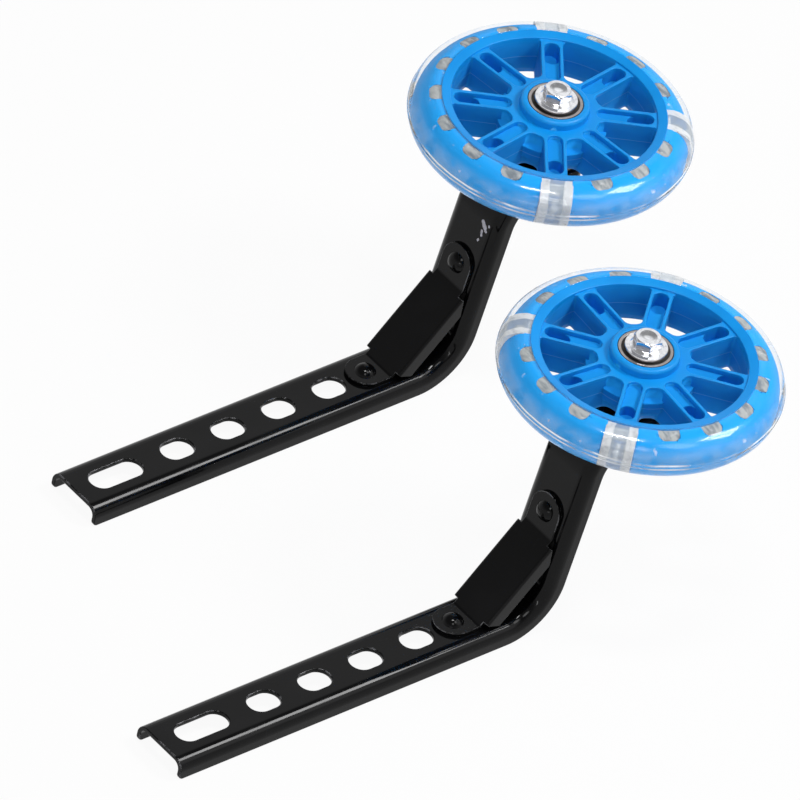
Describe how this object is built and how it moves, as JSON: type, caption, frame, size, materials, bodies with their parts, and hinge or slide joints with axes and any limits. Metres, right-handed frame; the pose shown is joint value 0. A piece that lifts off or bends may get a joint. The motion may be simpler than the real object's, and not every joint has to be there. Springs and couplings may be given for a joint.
{
  "type": "bicycle training wheels",
  "caption": "Bicycle training wheels: slotted, bent and braced channel arms that each carry a spoked light-up wheel with a clear tyre on ball bearings.",
  "frame": {"origin": "centre of the left unit's long slot, on the upper face of the web", "axes": "+X along both arms towards the wheels, +Y from the right unit to the left one, +Z along the wheels' axles, away from the slotted webs"},
  "size_m": [0.3354, 0.2438, 0.1259],
  "materials": {
    "black_paint": "gloss black paint",
    "blue_plastic": "satin moulded",
    "clear_tyre": "clear, glossy",
    "zinc_plate": "bright zinc plate",
    "bearing_steel": "ground",
    "cage_nylon": "moulded",
    "lamp_module": "moulded"
  },
  "bodies": {
    "brackets": {"left_arm": "black_paint", "left_gusset": "black_paint", "left_lower_rivet": "black_paint", "left_upper_rivet": "black_paint", "left_bearing_spacer": "zinc_plate", "left_axle_sleeve": "zinc_plate", "left_axle_bolt": "zinc_plate", "left_head_washer": "zinc_plate", "left_arm_spacer": "zinc_plate", "left_lock_washer": "zinc_plate", "left_axle_nut": "zinc_plate", "left_outer_bearing_inner_ring": "bearing_steel", "left_inner_bearing_inner_ring": "bearing_steel", "right_arm": "black_paint", "right_gusset": "black_paint", "right_lower_rivet": "black_paint", "right_upper_rivet": "black_paint", "right_bearing_spacer": "zinc_plate", "right_axle_sleeve": "zinc_plate", "right_axle_bolt": "zinc_plate", "right_head_washer": "zinc_plate", "right_arm_spacer": "zinc_plate", "right_lock_washer": "zinc_plate", "right_axle_nut": "zinc_plate", "right_outer_bearing_inner_ring": "bearing_steel", "right_inner_bearing_inner_ring": "bearing_steel"},
    "left_wheel": {"left_wheel_core": "blue_plastic", "left_tyre": "clear_tyre", "left_flash_module_1": "lamp_module", "left_flash_module_2": "lamp_module", "left_flash_module_3": "lamp_module", "left_outer_bearing_outer_ring": "bearing_steel", "left_inner_bearing_outer_ring": "bearing_steel", "left_outer_bearing_shields": "bearing_steel", "left_inner_bearing_shields": "bearing_steel"},
    "left_ball_train": {"left_outer_bearing_balls": "bearing_steel", "left_outer_bearing_cage": "cage_nylon", "left_inner_bearing_balls": "bearing_steel", "left_inner_bearing_cage": "cage_nylon"},
    "right_wheel": {"right_wheel_core": "blue_plastic", "right_tyre": "clear_tyre", "right_flash_module_1": "lamp_module", "right_flash_module_2": "lamp_module", "right_flash_module_3": "lamp_module", "right_outer_bearing_outer_ring": "bearing_steel", "right_inner_bearing_outer_ring": "bearing_steel", "right_outer_bearing_shields": "bearing_steel", "right_inner_bearing_shields": "bearing_steel"},
    "right_ball_train": {"right_outer_bearing_balls": "bearing_steel", "right_outer_bearing_cage": "cage_nylon", "right_inner_bearing_balls": "bearing_steel", "right_inner_bearing_cage": "cage_nylon"}
  },
  "joints": [
    {"name": "left_wheel_spin", "type": "hinge", "parent": "brackets", "child": "left_wheel", "pos_m": [0.1967, 0, 0.0994], "axis": [0, 0, 1], "continuous": true},
    {"name": "left_ball_train_spin", "type": "hinge", "parent": "brackets", "child": "left_ball_train", "pos_m": [0.1967, 0, 0.0994], "axis": [0, 0, 1], "continuous": true},
    {"name": "right_wheel_spin", "type": "hinge", "parent": "brackets", "child": "right_wheel", "pos_m": [0.1347, -0.131, 0.0994], "axis": [0, 0, 1], "continuous": true},
    {"name": "right_ball_train_spin", "type": "hinge", "parent": "brackets", "child": "right_ball_train", "pos_m": [0.1347, -0.131, 0.0994], "axis": [0, 0, 1], "continuous": true}
  ],
  "couplings": [
    {"joint": "left_ball_train_spin", "follows": "left_wheel_spin", "ratio": 0.63233},
    {"joint": "right_ball_train_spin", "follows": "right_wheel_spin", "ratio": 0.63233}
  ]
}
